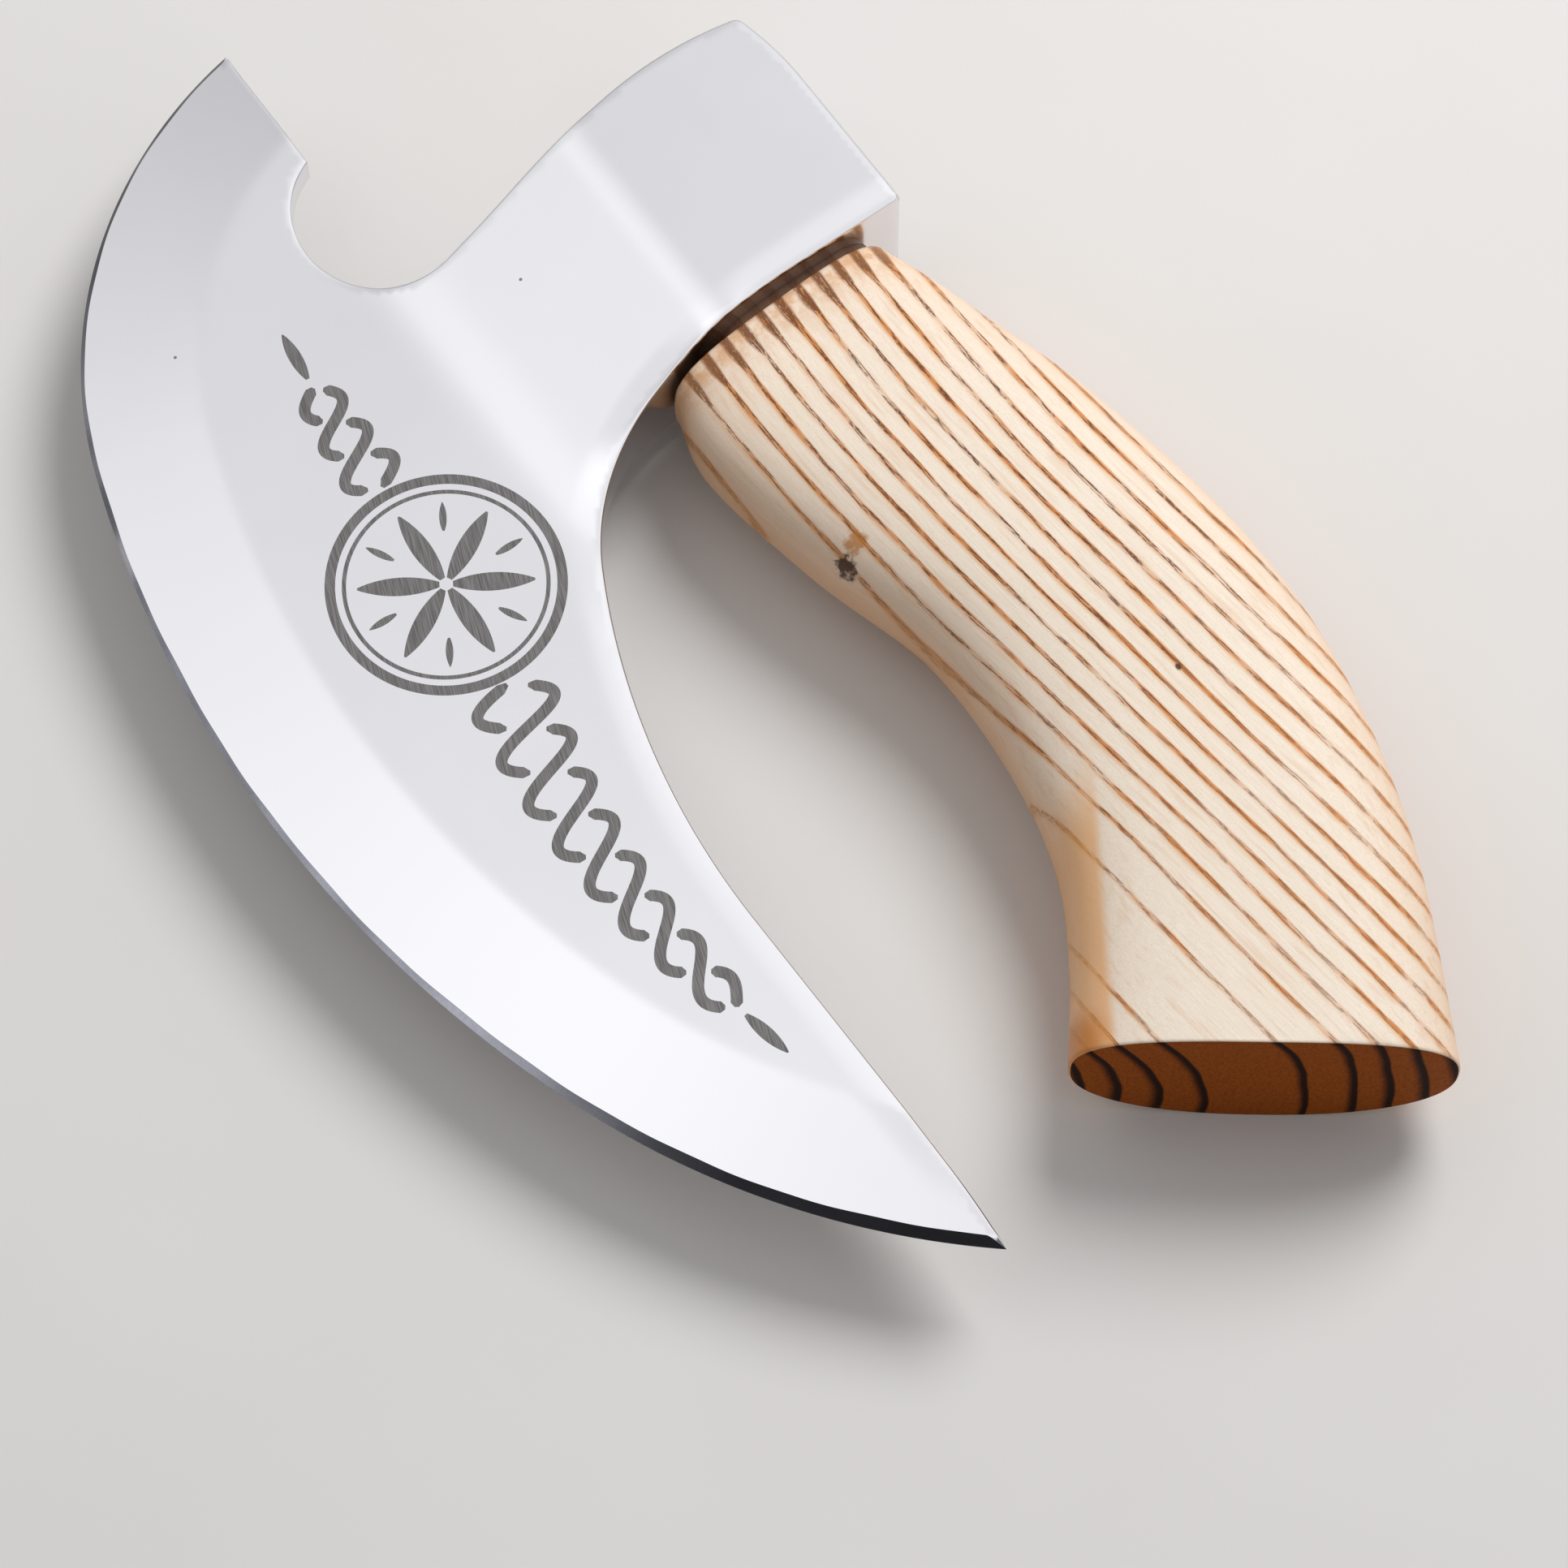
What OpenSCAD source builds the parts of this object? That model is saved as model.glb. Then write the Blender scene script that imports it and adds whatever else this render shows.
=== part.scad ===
// Short-handled bearded axe for rocking cuts on a board, lying on its side.
//
// X runs from the cutting edge (-X) to the poll (+X), Y from the butt of the handle (-Y) to the
// top of the eye (+Y), and Z across the cheeks. The tool is mirror-symmetric about its mid-plane.
// The shapes are drawn about the poll's lower corner, with the mid-plane at z = 0, and place()
// then moves them, so that the origin is the middle of the bounding box's bottom face.

/* [Eye block] */
// How far the flat of the poll stands out past the edges of the cheeks
poll_crown = 0.8; // [0.4:0.1:1.2]
// Thickness of the block across the cheeks
block_t = 22; // [20:0.5:24]
// Distance from the poll at which the cheeks start to thin towards the blade
cheek_len = 36; // [34:0.5:38]
// Radius of the hollow in which the cheeks thin down to the blade
cheek_hollow_r = 106; // [96:2:120]
// Length of the eye, from its poll end to its blade end
eye_len = 29; // [26:0.5:29.5]
// Width of the eye, between the cheek walls
eye_w = 13; // [11:0.5:14]
// Wall between the poll and the eye
poll_wall = 5.5; // [5:0.25:7]

/* [Blade] */
// Thickness of the blade behind its grind
blade_t = 5.2; // [4.4:0.2:6]
// Width of the ground zone along the cutting edge
grind_w = 17; // [12:1:20]
// Thickness where the ground zone meets the honed bevel
honed_t = 1.6; // [1.2:0.1:2]
// Width of the honed bevel at the very edge
honed_w = 1; // [0.6:0.1:1.4]
// Radius of the round bite between the toe and the eye block
bite_r = 13.4; // [12.6:0.2:14]

/* [Handle] */
// Thickness of the handle at its butt, which is its thickest place
butt_t = 29; // [27:0.5:31]
// Roundness of the handle's section: 2 is an ellipse, and more is squarer
squareness = 2.6; // [2:0.1:3.2]
// Radius that breaks the handle's shoulder, under the eye
shoulder_r = 2.5; // [1.5:0.25:3]

/* [Wedges] */
// How far the tenon stands proud of the top of the eye
proud = 0.6; // [0.4:0.1:1.2]
// Depth of the wooden wedge in the tenon
wedge_depth = 26; // [20:1:30]
// Thickness of the wooden wedge at its top
wedge_t = 3.4; // [2.8:0.2:4]
// Depth of the steel wedge
steel_depth = 14; // [10:1:18]
// Thickness of the steel wedge at its top
steel_t = 1.8; // [1.4:0.2:2.4]

/* [Hidden] */

$fn = 180;
arc_step = 3;        // degrees between the points of a drawn arc
clearance = 0.06;    // air between neighbouring pieces, so that they stay separate solids
edge_t = 0.2;        // flat left at the very edge
past = 8;            // how far cutting shapes reach past what they cut
crown_t = 2;         // how far the poll's crown slopes over each cheek
crown_run = 3;       // how many times its own length each crown slope is drawn
corner_r = 0.8;      // radius of the poll's lower corner
buried = 1;          // how much thinner than the blade the hollows would end
ledge = 0.02;        // step left where the block meets the blade, so that no surfaces touch there
block_low_y = -46;   // where the block ends inside the beard
lead_turn = 48;      // degrees the blade runs on before the toe, as far as the bite
trail_turn = 6;      // degrees the blade runs on past the heel
hub_share = 6;       // each blade sector starts at this fraction of its edge radius
ring_points = 48;    // points round one section of the handle
rings_per_span = 5;  // sections of the handle between two stations
round_rings = 3;     // sections that round the shoulder

// The cutting edge: three arcs, each tangent to the next, as [radius, sweep].
toe_tip = [-63.3, 81.3];
toe_heading = 190.7;
edge_arcs = [[70, 60], [177, 40], [120, 29]];

// The bite, and the toe's back, which is a straight line from the bite to the toe tip.
bite_centre = [-59, 46.2];
toe_back_x = -63.9;

// The back outline runs from the bottom of the bite round the block to the heel: [0, length] is
// a straight, [radius, sweep] an arc to the left, and both negative an arc to the right.
top_heading = 9.5;
top_turns = [[-62, -21], [-2.6, -64], [-44, -14.5]];
poll_heading = -90;
under_turns = [
    [-corner_r, -90],
    [0, 18.6],
    [106, 14.8],
    [33.3, 47],
    [115, 28.9],
    [0, 44],
    [-160, -6],
    [0, 12],
];

// Stations of the handle: the back edge's x and y, the front edge's x and y, and the thickness
// as a share of the butt's. The first is below the shoulder and the last is the butt.
stations = [
    [-4.2, -3.4, -43.2, -5.4, 0.71],
    [-0.4, -14, -45.2, -15.5, 0.81],
    [5.6, -35, -42.4, -35.5, 0.90],
    [9.2, -56, -37, -56, 0.94],
    [10.8, -79, -36.8, -75, 0.96],
    [6.8, -103, -41, -93, 0.975],
    [-1.4, -126, -48.5, -106.5, 0.99],
    [-14.2, -150.4, -57.4, -118.3, 1],
];

// ---- Curves ----

function heading(h) = [cos(h), sin(h)];
function arc_centre(p, h, r) = p + r * [-sin(h), cos(h)];
function on_arc(c, r, h) = c + r * [sin(h), -cos(h)];
function step_end(p, h, s) =
    s[0] == 0 ? p + s[1] * heading(h) : on_arc(arc_centre(p, h, s[0]), s[0], h + s[1]);
function step_heading(h, s) = s[0] == 0 ? h : h + s[1];

// Points along a chain of straights and tangent arcs that starts at p with heading h
function chain(p, h, steps, i = 0) =
    i == len(steps) ? [p] :
    let (s = steps[i], n = s[0] == 0 ? 1 : ceil(abs(s[1]) / arc_step))
    concat(
        [for (k = [0 : n - 1]) s[0] == 0 ? p : on_arc(arc_centre(p, h, s[0]), s[0], h + s[1] * k / n)],
        chain(step_end(p, h, s), step_heading(h, s), steps, i + 1)
    );
function chain_end(p, h, steps, i = 0) =
    i == len(steps) ? p : chain_end(step_end(p, h, steps[i]), step_heading(h, steps[i]), steps, i + 1);

// A smooth curve through a list of stations, where u counts stations
function through(keys, u) =
    let (
        i = min(floor(u), len(keys) - 2),
        f = u - i,
        a = keys[max(i - 1, 0)],
        b = keys[i],
        c = keys[i + 1],
        d = keys[min(i + 2, len(keys) - 1)]
    )
    (2 * b + (c - a) * f + (2 * a - 5 * b + 4 * c - d) * f * f + (3 * b - a - 3 * c + d) * f * f * f) / 2;

// ---- Head ----

bite_start = on_arc(bite_centre, bite_r, top_heading);
top_straight = (poll_crown - chain_end(bite_start, top_heading, top_turns).x) / cos(top_heading);
top_steps = concat([[0, top_straight]], top_turns);
top_points = chain(bite_start, top_heading, top_steps);
eye_top_y = max([for (p = top_points) p.y]);

// The back outline, closed well outside the cutting edge, which blade() cuts
module head_outline() {
    under = chain([poll_crown, corner_r], poll_heading, under_turns);
    heel = under[len(under) - 1];
    front_x = -edge_arcs[1][0];
    polygon(concat(
        top_points,
        under,
        [
            [front_x, heel.y],
            [front_x, toe_tip.y + past],
            [toe_tip.x, toe_tip.y + past],
            [toe_back_x, bite_centre.y],
            bite_centre,
        ]
    ));
}

// Half of the blade's section is mirrored about the mid-plane; x is the distance from an arc's centre
module blade_section(r, r_in) {
    half = [[r_in, blade_t / 2], [r - grind_w, blade_t / 2], [r - honed_w, honed_t / 2], [r, edge_t / 2]];
    mirrored = [for (i = [len(half) - 1 : -1 : 0]) [half[i].x, -half[i].y]];
    polygon(concat(half, mirrored));
}

// One sector of the blade for each arc of the edge, made longer at the two tips
module blade(i = 0, p = toe_tip, h = toe_heading) {
    if (i < len(edge_arcs)) {
        r = edge_arcs[i][0];
        a = edge_arcs[i][1];
        lead = i == 0 ? lead_turn : 0;
        trail = i == len(edge_arcs) - 1 ? trail_turn : 0;
        translate(arc_centre(p, h, r))
            rotate(h - 90 - lead)
                rotate_extrude(angle = lead + a + trail)
                    blade_section(r, r / hub_share);
        blade(i + 1, step_end(p, h, edge_arcs[i]), h + a);
    }
}

// The block is full thickness at the poll, and hollows of a large radius thin it into the blade.
// Its crown slopes run on past the poll, where the outline cuts them off flat.
module block() {
    buried_t = blade_t - buried;
    depth = (block_t - buried_t) / 2;
    hollow_len = sqrt(cheek_hollow_r ^ 2 - (cheek_hollow_r - depth) ^ 2);
    thin_x = -cheek_len - hollow_len;
    rise = buried / 2 + ledge;
    end_x = thin_x + sqrt(cheek_hollow_r ^ 2 - (cheek_hollow_r - rise) ^ 2);
    y_len = eye_top_y - block_low_y + past;
    difference() {
        translate([0, block_low_y, 0])
            rotate([-90, 0, 0])
                linear_extrude(y_len)
                    polygon([
                        [end_x, -block_t / 2],
                        [0, -block_t / 2],
                        [crown_run * poll_crown, -block_t / 2 + crown_run * crown_t],
                        [crown_run * poll_crown, block_t / 2 - crown_run * crown_t],
                        [0, block_t / 2],
                        [end_x, block_t / 2],
                    ]);
        for (side = [-1, 1])
            translate([thin_x, block_low_y - 1, side * (buried_t / 2 + cheek_hollow_r)])
                rotate([-90, 0, 0])
                    cylinder(r = cheek_hollow_r, h = y_len + 2);
    }
}

// A slot with round ends that runs along Y, inset by gap all round
module eye_slot(y0, y1, gap = 0) {
    r = eye_w / 2 - gap;
    x_poll = -poll_wall - eye_w / 2;
    x_blade = -poll_wall - eye_len + eye_w / 2;
    for (x = [x_poll, x_blade])
        translate([x, y0, 0])
            rotate([-90, 0, 0])
                cylinder(r = r, h = y1 - y0);
    translate([x_blade, y0, -r])
        cube([x_poll - x_blade, y1 - y0, 2 * r]);
}

module axe_head() {
    place()
        color("gainsboro")
            difference() {
                intersection() {
                    translate([0, 0, -block_t])
                        linear_extrude(2 * block_t)
                            head_outline();
                    union() {
                        block();
                        blade();
                    }
                }
                eye_slot(-past, eye_top_y + past);
                translate([bite_centre.x, bite_centre.y, -block_t])
                    cylinder(r = bite_r, h = 2 * block_t);
            }
}

// ---- Handle ----

// One point of a section: t runs once round it, and inset shrinks the section
function section_point(s, t, inset) =
    let (
        back = [s[0], s[1]],
        front = [s[2], s[3]],
        half_w = norm(front - back) / 2,
        half_t = s[4] * butt_t / 2,
        across = (front - back) / (2 * half_w),
        c = cos(t),
        z = sin(t),
        mid = (back + front) / 2,
        xy = mid + across * (half_w - inset) * sign(c) * abs(c) ^ (2 / squareness)
    )
    [xy.x, xy.y, (half_t - inset) * sign(z) * abs(z) ^ (2 / squareness)];

function section(s, inset = 0, lift = [0, 0, 0]) =
    [for (k = [0 : ring_points - 1]) section_point(s, 360 * k / ring_points, inset) + lift];

// The sections that round the shoulder, then those down to the butt
shoulder_line = [stations[0][2] - stations[0][0], stations[0][3] - stations[0][1]];
shoulder_up = [shoulder_line.y, -shoulder_line.x] / norm(shoulder_line);
shoulder_sections = [
    for (k = [0 : round_rings - 1])
        let (a = 90 - 90 * k / round_rings, rise = shoulder_r * sin(a) * shoulder_up)
        section(stations[0], shoulder_r * (1 - cos(a)), [rise.x, rise.y, 0])
];
spans = (len(stations) - 1) * rings_per_span;
body_sections = [for (k = [0 : spans]) section(through(stations, k / rings_per_span))];
handle_sections = concat(shoulder_sections, body_sections);
handle_points = [for (ring = handle_sections) each ring];

module grip() {
    n = ring_points;
    last = len(handle_sections) - 1;
    sides = [
        for (j = [0 : last - 1], k = [0 : n - 1])
            let (a = j * n + k, b = j * n + (k + 1) % n)
            each [[a, b, b + n], [a, b + n, a + n]]
    ];
    shoulder_cap = [for (k = [0 : n - 1]) n - 1 - k];
    butt_cap = [for (k = [0 : n - 1]) last * n + k];
    polyhedron(handle_points, concat(sides, [shoulder_cap, butt_cap]));
}

// Everything under the top curve of the eye, raised by the tenon's proud height
module under_top() {
    top = [for (p = top_points) p + [0, proud]];
    translate([0, 0, -block_t])
        linear_extrude(2 * block_t)
            polygon(concat(top, [[0, -past], [bite_start.x, -past]]));
}

// A wedge with its thick end up, at the given x and y, that is length long along its thin edge
module wedge_blank(tip_y, top_y, top_t, length, gap = 0) {
    tip = top_t * tip_share / 2 + gap;
    top = top_t / 2 + gap;
    linear_extrude(length + 2 * gap, center = true)
        polygon([[-tip, tip_y - gap], [tip, tip_y - gap], [top, top_y], [-top, top_y]]);
}

tip_share = 0.25;    // a wedge's thin edge, as a share of its thick end
steel_margin = 2;    // from the steel wedge's ends to the eye's walls
eye_mid_x = -poll_wall - eye_len / 2;

module wooden_wedge_shape(length, gap = 0) {
    translate([eye_mid_x, 0, 0])
        rotate([0, 90, 0])
            wedge_blank(eye_top_y - wedge_depth, eye_top_y + past, wedge_t, length, gap);
}

module steel_wedge_shape(gap = 0) {
    translate([eye_mid_x, 0, 0])
        wedge_blank(eye_top_y - steel_depth, eye_top_y + past, steel_t, eye_w - 2 * steel_margin, gap);
}

module handle() {
    place()
        color("wheat")
            union() {
                grip();
                difference() {
                    intersection() {
                        eye_slot(-past, eye_top_y + past, clearance);
                        under_top();
                    }
                    wooden_wedge_shape(eye_len + past, clearance);
                    steel_wedge_shape(clearance);
                }
            }
}

// ---- Wedges ----

module eye_wedge() {
    place()
        color("tan")
            difference() {
                intersection() {
                    wooden_wedge_shape(eye_len + past);
                    eye_slot(-past, eye_top_y + past, clearance);
                    under_top();
                }
                steel_wedge_shape(clearance);
            }
}

module steel_wedge() {
    place()
        color("slategray")
            intersection() {
                steel_wedge_shape();
                under_top();
            }
}

// ---- Placing ----

// The edge reaches furthest out where its middle arc points straight along -X
edge_mid_start = step_end(toe_tip, toe_heading, edge_arcs[0]);
edge_mid_centre = arc_centre(edge_mid_start, toe_heading + edge_arcs[0][1], edge_arcs[1][0]);
x_min = edge_mid_centre.x - edge_arcs[1][0];
x_max = max([for (p = handle_points) p.x]);
y_min = min([for (p = handle_points) p.y]);
z_max = max([for (p = handle_points) p.z]);

module place() {
    translate([-(x_min + x_max) / 2, -(y_min + toe_tip.y) / 2, z_max])
        children();
}

axe_head();
handle();
eye_wedge();
steel_wedge();
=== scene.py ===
"""A short-handled bearded axe lying on its side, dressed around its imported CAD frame.

Shapes are built in millimetres in the part's own drawing frame: x = 0 at the edges of the poll,
y = 0 at the underside of the eye and z = 0 on the mid-plane. SHIFT, read from the CAD boxes,
takes them into the row frame.
"""

import math

import bmesh
import bpy
import numpy as np
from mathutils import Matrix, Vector
from mathutils.geometry import delaunay_2d_cdt


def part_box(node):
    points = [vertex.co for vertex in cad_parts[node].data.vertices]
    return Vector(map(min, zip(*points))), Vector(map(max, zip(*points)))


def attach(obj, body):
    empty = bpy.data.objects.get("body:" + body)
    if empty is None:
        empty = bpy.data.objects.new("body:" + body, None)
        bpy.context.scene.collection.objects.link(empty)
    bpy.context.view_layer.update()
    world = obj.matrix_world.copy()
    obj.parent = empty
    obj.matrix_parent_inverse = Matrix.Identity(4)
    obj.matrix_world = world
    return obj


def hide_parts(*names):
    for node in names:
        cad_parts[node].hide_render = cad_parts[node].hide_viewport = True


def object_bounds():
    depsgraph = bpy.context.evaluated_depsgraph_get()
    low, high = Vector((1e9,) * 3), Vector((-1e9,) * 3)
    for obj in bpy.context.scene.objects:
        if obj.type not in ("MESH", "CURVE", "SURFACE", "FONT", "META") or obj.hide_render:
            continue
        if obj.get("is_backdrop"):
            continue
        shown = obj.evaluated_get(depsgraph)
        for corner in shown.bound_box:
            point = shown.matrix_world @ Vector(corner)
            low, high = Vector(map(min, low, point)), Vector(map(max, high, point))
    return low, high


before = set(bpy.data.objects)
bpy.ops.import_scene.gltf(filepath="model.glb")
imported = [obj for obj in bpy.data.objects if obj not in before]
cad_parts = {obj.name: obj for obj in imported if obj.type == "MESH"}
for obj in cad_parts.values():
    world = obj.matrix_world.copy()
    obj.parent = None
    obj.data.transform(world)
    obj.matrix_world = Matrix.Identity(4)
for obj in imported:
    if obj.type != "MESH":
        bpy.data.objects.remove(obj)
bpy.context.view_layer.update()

MM = 0.001
BODY = "root"

# ---- Sizes of the head, in millimetres ----
POLL_CROWN = 0.8
BLOCK_T = 22.0
CHEEK_LEN = 36.0
CHEEK_HOLLOW_R = 106.0
EYE_LEN = 29.0
EYE_W = 13.0
POLL_WALL = 5.5
BLADE_T = 5.2
BURIED = 1.0
GRIND_W = 17.0
HONED_T = 1.6
EDGE_T = 0.12
CORNER_R = 1.6
RIM_R = 0.4
TOE_TIP = (-63.3, 81.3)
TOE_HEADING = 190.7
# Turns are (radius, degrees), to the right below zero, and (0, length) is a straight
EDGE_ARCS = [(70.0, 60.0), (177.0, 40.0), (120.0, 29.0)]
BITE_CENTRE = (-59.0, 46.2)
BITE_R = 13.4
TOE_BACK_X = -63.9
TOP_HEADING = 9.5
TOP_TURNS = [(-62.0, -21.0), (-2.6, -64.0), (-44.0, -14.5)]
UNDER_TURNS = [
    (-CORNER_R, -90.0),
    (0, 18.6 + POLL_CROWN - CORNER_R),
    (106.0, 14.8),
    (33.3, 47.0),
    (115.0, 28.9),
    (0, 44.0),
    (-160.0, -6.0),
    (0, 12.0),
]

# ---- Sizes of the handle, in millimetres ----
BUTT_T = 29.0
SHOULDER_R = 2.2
CLEARANCE = 0.06
PROUD = 0.6
WEDGE_DEPTH = 26.0
WEDGE_T = 3.4
STEEL_DEPTH = 14.0
STEEL_T = 1.8
# Back x and y, front x and y, and thickness as a share of BUTT_T, from the shoulder to the butt
STATIONS = np.array([
    [-4.2, -3.4, -43.2, -5.4, 0.71],
    [-0.4, -14, -45.2, -15.5, 0.81],
    [5.6, -35, -42.4, -35.5, 0.90],
    [9.2, -56, -37, -56, 0.94],
    [10.8, -79, -36.8, -75, 0.96],
    [6.8, -103, -41, -93, 0.975],
    [-1.4, -126, -48.5, -106.5, 0.99],
    [-14.2, -150.4, -57.4, -118.3, 1],
])

head_low, head_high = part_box("axe_head")
SHIFT = np.array([
    head_high.x / MM - POLL_CROWN,
    head_high.y / MM - TOE_TIP[1],
    (head_low.z + head_high.z) / 2 / MM,
])


# ---- Curves ----


def heading_vector(degrees):
    """The unit vector of a heading, in degrees anticlockwise from x."""
    a = math.radians(degrees)
    return np.array([math.cos(a), math.sin(a)])


def left_of(degrees):
    """The unit vector that points to the left of a heading."""
    return heading_vector(degrees + 90)


def arc_centre(point, heading, radius):
    """The centre of an arc that leaves a point along a heading."""
    return np.array(point) + radius * left_of(heading)


def walk(start, heading, steps, spacing):
    """Points along straights (0, length) and tangent arcs (radius, sweep); negative turns right."""
    points = [np.array(start, float)]
    for radius, amount in steps:
        here = points[-1]
        length = amount if radius == 0 else abs(radius * math.radians(amount))
        count = max(1, math.ceil(length / spacing))
        for i in range(1, count + 1):
            if radius == 0:
                points.append(here + heading_vector(heading) * amount * i / count)
            else:
                centre = arc_centre(here, heading, radius)
                points.append(centre - radius * left_of(heading + amount * i / count))
        if radius != 0:
            heading += amount
    return np.array(points)


def smooth_step(x, low, high):
    """0 below low, 1 above high, with a smooth rise between them."""
    t = np.clip((x - low) / (high - low), 0, 1)
    return t * t * (3 - 2 * t)


def smooth_max(a, b, width):
    """The larger of a and b, with the corner between them rounded over width."""
    h = np.clip(0.5 + (a - b) / (2 * width), 0, 1)
    return b + (a - b) * h + width * h * (1 - h)


def smooth_min(a, b, width):
    return -smooth_max(-a, -b, width)


def distance_to_line(points, line):
    """Distance from each point to an open polyline."""
    best = np.full(len(points), np.inf)
    for a, b in zip(line[:-1], line[1:]):
        d = b - a
        t = np.clip(((points - a) @ d) / (d @ d), 0, 1)
        gap = points - a - t[:, None] * d
        best = np.minimum(best, np.hypot(gap[:, 0], gap[:, 1]))
    return best


def inside(points, loop):
    """Which points lie inside a closed loop, by counting crossings."""
    result = np.zeros(len(points), bool)
    x, y = points[:, 0], points[:, 1]
    for a, b in zip(loop, np.roll(loop, -1, axis=0)):
        if a[1] == b[1]:
            continue
        crossing_x = (b[0] - a[0]) * (y - a[1]) / (b[1] - a[1]) + a[0]
        result ^= ((a[1] > y) != (b[1] > y)) & (x < crossing_x)
    return result


# ---- Making objects ----

WELD = 1e-7


def to_frame(points):
    return (np.asarray(points, float) + SHIFT) * MM


def set_float(mesh, name, values):
    attribute = mesh.attributes.new(name, "FLOAT", "POINT")
    attribute.data.foreach_set("value", np.asarray(values, np.float32))


def link(name, data):
    """A new object in the scene that holds the given data."""
    obj = bpy.data.objects.new(name, data)
    bpy.context.scene.collection.objects.link(obj)
    return obj


def make_object(name, points, faces, attributes=None, slots=None):
    mesh = bpy.data.meshes.new(name)
    mesh.from_pydata(to_frame(points).tolist(), [], faces)
    if slots is not None:
        mesh.polygons.foreach_set("material_index", slots)
    for key, values in (attributes or {}).items():
        set_float(mesh, key, values)
    return link(name, mesh)


def clean(obj):
    """Welds coincident points, drops flat faces and points every face outward."""
    work = bmesh.new()
    work.from_mesh(obj.data)
    bmesh.ops.remove_doubles(work, verts=work.verts, dist=WELD)
    bmesh.ops.dissolve_degenerate(work, dist=WELD, edges=work.edges)
    bmesh.ops.recalc_face_normals(work, faces=work.faces)
    work.to_mesh(obj.data)
    work.free()


def cut(obj, tools):
    """Cuts obj with each tool in turn, and removes the tools."""
    for tool in tools:
        modifier = obj.modifiers.new("cut", "BOOLEAN")
        modifier.operation = "DIFFERENCE"
        modifier.solver = "EXACT"
        modifier.object = tool
    depsgraph = bpy.context.evaluated_depsgraph_get()
    result = bpy.data.meshes.new_from_object(obj.evaluated_get(depsgraph))
    obj.modifiers.clear()
    obj.data = result
    for tool in tools:
        bpy.data.objects.remove(tool)


def ring_faces(rows, n):
    """Quads between each pair of neighbouring rings, where every ring has n points."""
    faces = []
    for row in range(rows - 1):
        a, b = row * n, (row + 1) * n
        faces += [(a + i, a + (i + 1) % n, b + (i + 1) % n, b + i) for i in range(n)]
    return faces


def prism(name, outline, low, high, place):
    """A straight prism: outline points (a, b) at two heights, each mapped by place(a, b, height)."""
    n = len(outline)
    points = [place(a, b, h) for h in (low, high) for a, b in outline]
    sides = [(i, (i + 1) % n, n + (i + 1) % n, n + i) for i in range(n)]
    caps = [tuple(range(n - 1, -1, -1)), tuple(range(n, 2 * n))]
    obj = make_object(name, points, sides + caps)
    clean(obj)
    return obj


def shade(obj, sharp_degrees):
    obj.data.shade_smooth()
    obj.data.set_sharp_from_angle(angle=math.radians(sharp_degrees))


# ---- The head ----

EDGE_STEP = 0.7
POLL_POINTS = 40
BITE_POINTS = 62
BACK_POINTS = 34
bite_centre = np.array(BITE_CENTRE)


def edge_centres():
    """Centre, radius and first heading of each arc of the cutting edge."""
    result = []
    point, heading = np.array(TOE_TIP), TOE_HEADING
    for radius, sweep in EDGE_ARCS:
        centre = arc_centre(point, heading, radius)
        result.append((centre, radius, heading, sweep))
        heading += sweep
        point = centre - radius * left_of(heading)
    return result


def under_line(spacing):
    """The underside from the poll past the eye and down the blade, before the edge ends it."""
    return walk((POLL_CROWN, CORNER_R), -90, UNDER_TURNS, spacing)


def heel_cut(line):
    """The underside's line, cut where it meets the last arc of the edge."""
    centre, radius = edge_centres()[-1][:2]
    reach = np.hypot(*(line - centre).T)
    last = int(np.argmax(reach > radius))
    t = (radius - reach[last - 1]) / (reach[last] - reach[last - 1])
    tip = line[last - 1] + t * (line[last] - line[last - 1])
    return np.vstack([line[:last], tip])


def top_line(spacing):
    """The back from the bite over the eye to the poll."""
    start = bite_centre + BITE_R * -left_of(TOP_HEADING)
    turns = walk(start, TOP_HEADING, TOP_TURNS, spacing)
    straight = (POLL_CROWN - turns[-1][0]) / math.cos(math.radians(TOP_HEADING))
    return walk(start, TOP_HEADING, [(0, straight)] + TOP_TURNS, spacing)


def head_stations():
    """The head's outline as one loop, with the number of stations that lie on the edge."""
    under = heel_cut(under_line(EDGE_STEP))
    tip = under[-1]
    arcs = edge_centres()
    centre, radius, heading, _ = arcs[-1]
    tip_angle = math.degrees(math.atan2(*(tip - centre)[::-1]))
    last_sweep = (tip_angle + 90 - heading) % 360
    edge = walk(TOE_TIP, TOE_HEADING, EDGE_ARCS[:-1] + [(radius, last_sweep)], EDGE_STEP)
    top = top_line(EDGE_STEP)
    poll = np.linspace(top[-1], under[0], POLL_POINTS)[1:-1]
    lean = TOE_BACK_X - BITE_CENTRE[0]
    corner_angle = math.degrees(math.acos(lean / BITE_R))
    bite_angles = np.linspace(270 + TOP_HEADING, corner_angle, BITE_POINTS)[1:]
    bite = bite_centre + BITE_R * np.array([heading_vector(a) for a in bite_angles])
    back = np.linspace(bite[-1], TOE_TIP, BACK_POINTS)[1:-1]
    loop = np.vstack([edge, under[::-1][1:], poll[::-1], top[::-1], bite, back])
    return loop, len(edge)


FAR = 99.0
PAST_TOE = 60.0
PAST_HEEL = 25.0


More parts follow.
